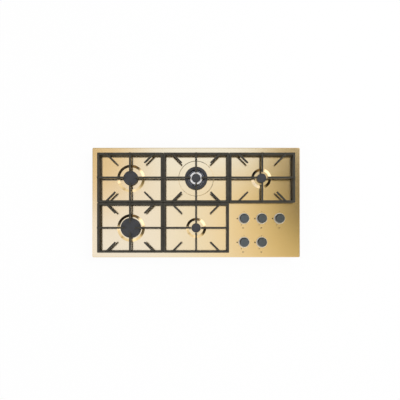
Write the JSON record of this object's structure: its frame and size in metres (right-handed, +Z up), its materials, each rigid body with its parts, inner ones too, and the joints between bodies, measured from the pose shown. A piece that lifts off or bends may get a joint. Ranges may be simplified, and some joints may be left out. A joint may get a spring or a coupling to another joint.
{
  "type": "gas cooktop",
  "caption": "Built-in gas cooktop: pressed plate with ring burners, cast pan supports, push-and-turn knobs and a casing that drops into a worktop.",
  "frame": {"origin": "middle of the casing's flat underside, on the vertical line through the plate's middle", "axes": "+X to the cook's right, +Y to the back, +Z up"},
  "size_m": [0.966, 0.51, 0.111],
  "materials": {
    "plate_gold": "satin champagne gold coated steel, faintly brushed",
    "casing_steel": "galvanised sheet",
    "seal_foam": "closed cell foam",
    "zinc_steel": "zinc plated",
    "grate_iron": "matt enamelled cast iron",
    "foot_rubber": "moulded rubber",
    "cup_aluminium": "die cast",
    "head_aluminium": "die cast, heat darkened",
    "wok_crown_metal": "die cast, machined ledge",
    "cap_enamel": "matt dark grey enamel",
    "brass": "turned",
    "ceramic_white": "glazed ceramic with a steel pin",
    "probe_copper": "copper and steel probe",
    "knob_grey": "satin blue grey",
    "bezel_polished": "polished",
    "spindle_steel": "turned",
    "tap_aluminium": "die cast",
    "tube_aluminium": "drawn tube with plated nuts",
    "rail_steel": "yellow zinc plated tube",
    "generator_plastic": "moulded",
    "terminal_plastic": "moulded"
  },
  "bodies": {
    "hob": {"hob_plate": "plate_gold", "worktop_seal": "seal_foam", "stud_nuts": "zinc_steel", "bottom_casing": "casing_steel", "clamp_brackets": "zinc_steel", "clamp_screws": "zinc_steel", "injectors": "brass", "ignition_electrodes": "ceramic_white", "thermocouples": "probe_copper", "tap_bodies": "tap_aluminium", "tap_covers": "zinc_steel", "rail_clamps": "zinc_steel", "machine_screws": "zinc_steel", "knob_bezels": "bezel_polished", "gas_rail": "rail_steel", "gas_inlet": "brass", "gas_tubes": "tube_aluminium", "spark_generator": "generator_plastic", "mains_terminal_box": "terminal_plastic", "burner_cup_back_left": "cup_aluminium", "burner_cup_front_left": "cup_aluminium", "burner_cup_back_centre": "cup_aluminium", "burner_cup_front_centre": "cup_aluminium", "burner_cup_back_right": "cup_aluminium"},
    "grate_back_left": {"grate_back_left": "grate_iron", "grate_feet_back_left": "foot_rubber"},
    "grate_front_left": {"grate_front_left": "grate_iron", "grate_feet_front_left": "foot_rubber"},
    "grate_back_centre": {"grate_back_centre": "grate_iron", "grate_feet_back_centre": "foot_rubber"},
    "grate_front_centre": {"grate_front_centre": "grate_iron", "grate_feet_front_centre": "foot_rubber"},
    "grate_back_right": {"grate_back_right": "grate_iron", "grate_feet_back_right": "foot_rubber"},
    "head_back_left": {"burner_head_back_left": "head_aluminium"},
    "cap_back_left": {"burner_cap_back_left": "cap_enamel"},
    "head_front_left": {"burner_head_front_left": "head_aluminium"},
    "cap_front_left": {"burner_cap_front_left": "cap_enamel"},
    "head_back_centre": {"burner_head_back_centre": "wok_crown_metal"},
    "ring_cap_back_centre": {"burner_ring_cap_back_centre": "cap_enamel"},
    "centre_cap_back_centre": {"burner_centre_cap_back_centre": "cap_enamel"},
    "head_front_centre": {"burner_head_front_centre": "head_aluminium"},
    "cap_front_centre": {"burner_cap_front_centre": "cap_enamel"},
    "head_back_right": {"burner_head_back_right": "head_aluminium"},
    "cap_back_right": {"burner_cap_back_right": "cap_enamel"},
    "plug_back_left": {"tap_plug_back_left": "brass"},
    "knob_back_left": {"knob_back_left": "knob_grey", "tap_spindle_back_left": "spindle_steel"},
    "plug_back_centre": {"tap_plug_back_centre": "brass"},
    "knob_back_centre": {"knob_back_centre": "knob_grey", "tap_spindle_back_centre": "spindle_steel"},
    "plug_back_right": {"tap_plug_back_right": "brass"},
    "knob_back_right": {"knob_back_right": "knob_grey", "tap_spindle_back_right": "spindle_steel"},
    "plug_front_left": {"tap_plug_front_left": "brass"},
    "knob_front_left": {"knob_front_left": "knob_grey", "tap_spindle_front_left": "spindle_steel"},
    "plug_front_centre": {"tap_plug_front_centre": "brass"},
    "knob_front_centre": {"knob_front_centre": "knob_grey", "tap_spindle_front_centre": "spindle_steel"}
  },
  "joints": [
    {"name": "grate_back_left_lift", "type": "slide", "parent": "hob", "child": "grate_back_left", "axis": [0, 0, 1], "range_m": [0, 0.08]},
    {"name": "grate_front_left_lift", "type": "slide", "parent": "hob", "child": "grate_front_left", "axis": [0, 0, 1], "range_m": [0, 0.08]},
    {"name": "grate_back_centre_lift", "type": "slide", "parent": "hob", "child": "grate_back_centre", "axis": [0, 0, 1], "range_m": [0, 0.08]},
    {"name": "grate_front_centre_lift", "type": "slide", "parent": "hob", "child": "grate_front_centre", "axis": [0, 0, 1], "range_m": [0, 0.08]},
    {"name": "grate_back_right_lift", "type": "slide", "parent": "hob", "child": "grate_back_right", "axis": [0, 0, 1], "range_m": [0, 0.08]},
    {"name": "head_back_left_lift", "type": "slide", "parent": "hob", "child": "head_back_left", "axis": [0, 0, 1], "range_m": [0, 0.004]},
    {"name": "cap_back_left_lift", "type": "slide", "parent": "head_back_left", "child": "cap_back_left", "axis": [0, 0, 1], "range_m": [0, 0.004]},
    {"name": "head_front_left_lift", "type": "slide", "parent": "hob", "child": "head_front_left", "axis": [0, 0, 1], "range_m": [0, 0.004]},
    {"name": "cap_front_left_lift", "type": "slide", "parent": "head_front_left", "child": "cap_front_left", "axis": [0, 0, 1], "range_m": [0, 0.004]},
    {"name": "head_back_centre_lift", "type": "slide", "parent": "hob", "child": "head_back_centre", "axis": [0, 0, 1], "range_m": [0, 0.004]},
    {"name": "ring_cap_back_centre_lift", "type": "slide", "parent": "head_back_centre", "child": "ring_cap_back_centre", "axis": [0, 0, 1], "range_m": [0, 0.004]},
    {"name": "centre_cap_back_centre_lift", "type": "slide", "parent": "head_back_centre", "child": "centre_cap_back_centre", "axis": [0, 0, 1], "range_m": [0, 0.004]},
    {"name": "head_front_centre_lift", "type": "slide", "parent": "hob", "child": "head_front_centre", "axis": [0, 0, 1], "range_m": [0, 0.004]},
    {"name": "cap_front_centre_lift", "type": "slide", "parent": "head_front_centre", "child": "cap_front_centre", "axis": [0, 0, 1], "range_m": [0, 0.004]},
    {"name": "head_back_right_lift", "type": "slide", "parent": "hob", "child": "head_back_right", "axis": [0, 0, 1], "range_m": [0, 0.004]},
    {"name": "cap_back_right_lift", "type": "slide", "parent": "head_back_right", "child": "cap_back_right", "axis": [0, 0, 1], "range_m": [0, 0.004]},
    {"name": "knob_back_left_turn", "type": "hinge", "parent": "hob", "child": "plug_back_left", "pos_m": [0.223, -0.0745, 0.066], "axis": [0, 0, 1], "range_deg": [0, 160]},
    {"name": "knob_back_left_press", "type": "slide", "parent": "plug_back_left", "child": "knob_back_left", "axis": [0, 0, -1], "range_m": [0, 0.004], "stiffness_N_per_m": 1200, "springref_m": -0.002},
    {"name": "knob_back_centre_turn", "type": "hinge", "parent": "hob", "child": "plug_back_centre", "pos_m": [0.3055, -0.0745, 0.066], "axis": [0, 0, 1], "range_deg": [0, 160]},
    {"name": "knob_back_centre_press", "type": "slide", "parent": "plug_back_centre", "child": "knob_back_centre", "axis": [0, 0, -1], "range_m": [0, 0.004], "stiffness_N_per_m": 1200, "springref_m": -0.002},
    {"name": "knob_back_right_turn", "type": "hinge", "parent": "hob", "child": "plug_back_right", "pos_m": [0.388, -0.0745, 0.066], "axis": [0, 0, 1], "range_deg": [0, 160]},
    {"name": "knob_back_right_press", "type": "slide", "parent": "plug_back_right", "child": "knob_back_right", "axis": [0, 0, -1], "range_m": [0, 0.004], "stiffness_N_per_m": 1200, "springref_m": -0.002},
    {"name": "knob_front_left_turn", "type": "hinge", "parent": "hob", "child": "plug_front_left", "pos_m": [0.223, -0.185, 0.066], "axis": [0, 0, 1], "range_deg": [0, 160]},
    {"name": "knob_front_left_press", "type": "slide", "parent": "plug_front_left", "child": "knob_front_left", "axis": [0, 0, -1], "range_m": [0, 0.004], "stiffness_N_per_m": 1200, "springref_m": -0.002},
    {"name": "knob_front_centre_turn", "type": "hinge", "parent": "hob", "child": "plug_front_centre", "pos_m": [0.3055, -0.185, 0.066], "axis": [0, 0, 1], "range_deg": [0, 160]},
    {"name": "knob_front_centre_press", "type": "slide", "parent": "plug_front_centre", "child": "knob_front_centre", "axis": [0, 0, -1], "range_m": [0, 0.004], "stiffness_N_per_m": 1200, "springref_m": -0.002}
  ]
}
